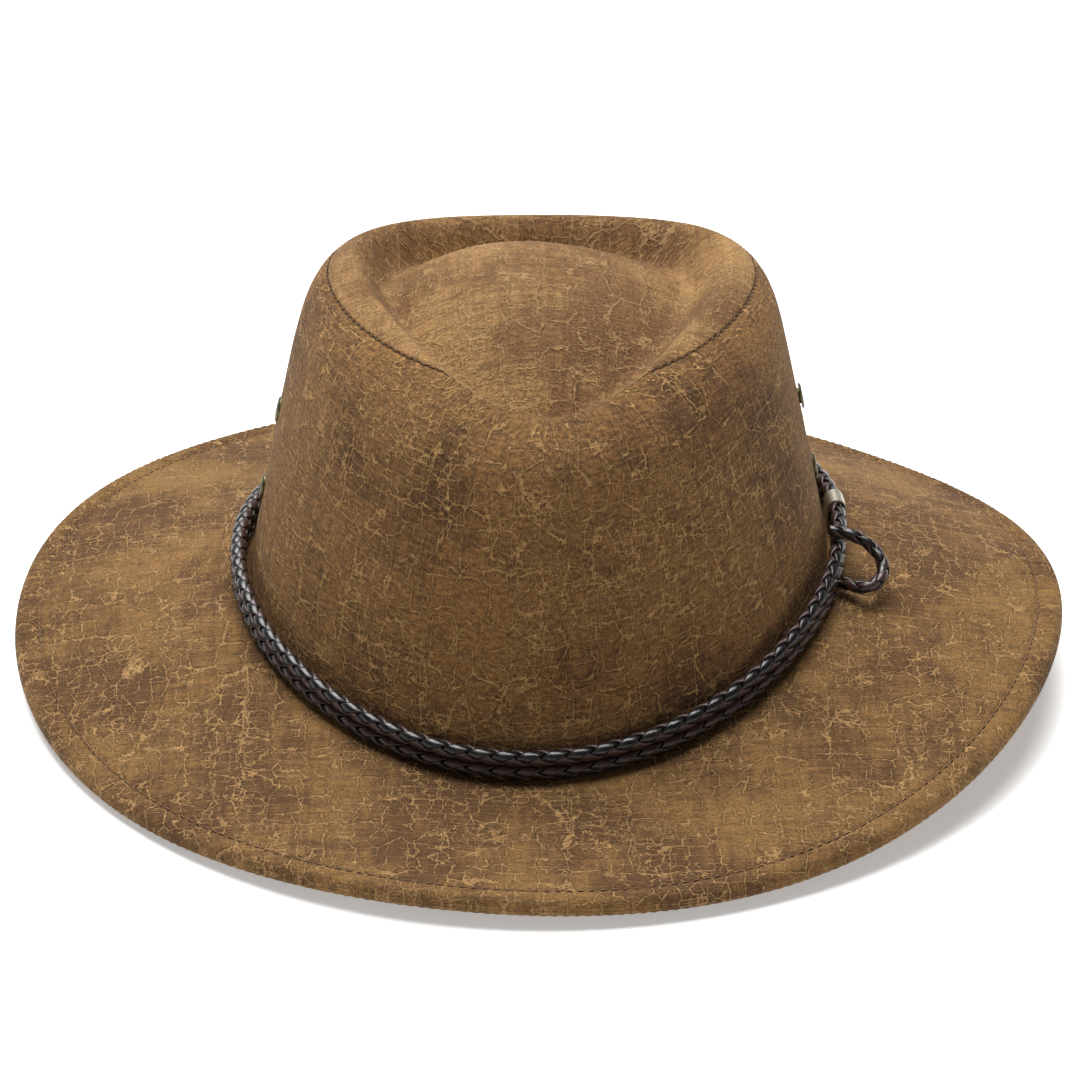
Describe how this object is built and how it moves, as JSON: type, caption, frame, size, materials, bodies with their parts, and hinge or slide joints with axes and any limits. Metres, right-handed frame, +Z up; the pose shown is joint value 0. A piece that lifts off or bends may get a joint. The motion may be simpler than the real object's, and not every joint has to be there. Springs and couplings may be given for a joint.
{
  "type": "wide-brim outback hat",
  "caption": "Wide-brim outback hat with a teardrop-pinched crown, a wired brim with a rolled edge and a braided double-cord band that lifts off.",
  "frame": {"origin": "on the surface the hat stands on, under the middle of the brim", "axes": "+Z up, +Y towards the back of the hat, +X towards the wearer's left"},
  "size_m": [0.3156, 0.348, 0.1185],
  "materials": {
    "suede": "distressed faux suede, camel with worn umber patches",
    "stiffener": "stiff felted interlining",
    "lining": "woven satin lining",
    "sweatband": "smooth sweatband leather cloth",
    "core": "foam brim core",
    "wire": "drawn spring wire",
    "joiner": "drawn tube",
    "braid": "glossy braided bonded-leather laces",
    "ferrule": "crimped sheet metal, dull nickel",
    "eyelet": "antique brass"
  },
  "bodies": {
    "hat": {"crown_side": "suede", "crown_tip": "suede", "crown_side_stiffener": "stiffener", "crown_tip_stiffener": "stiffener", "crown_side_lining": "lining", "crown_tip_lining": "lining", "sweatband": "sweatband", "brim_top_panel": "suede", "brim_core": "core", "brim_under_panel": "suede", "brim_wire": "wire", "wire_joiner": "joiner", "vent_eyelets_left": "eyelet", "vent_eyelets_right": "eyelet", "vent_washers_left": "eyelet", "vent_washers_right": "eyelet"},
    "hat_band": {"band_cord_upper": "braid", "band_cord_lower": "braid", "band_ferrule": "ferrule", "band_loop": "braid"}
  },
  "joints": [
    {"name": "band_lift", "type": "slide", "parent": "hat", "child": "hat_band", "axis": [0, 0, 1], "range_m": [0, 0.13]}
  ]
}
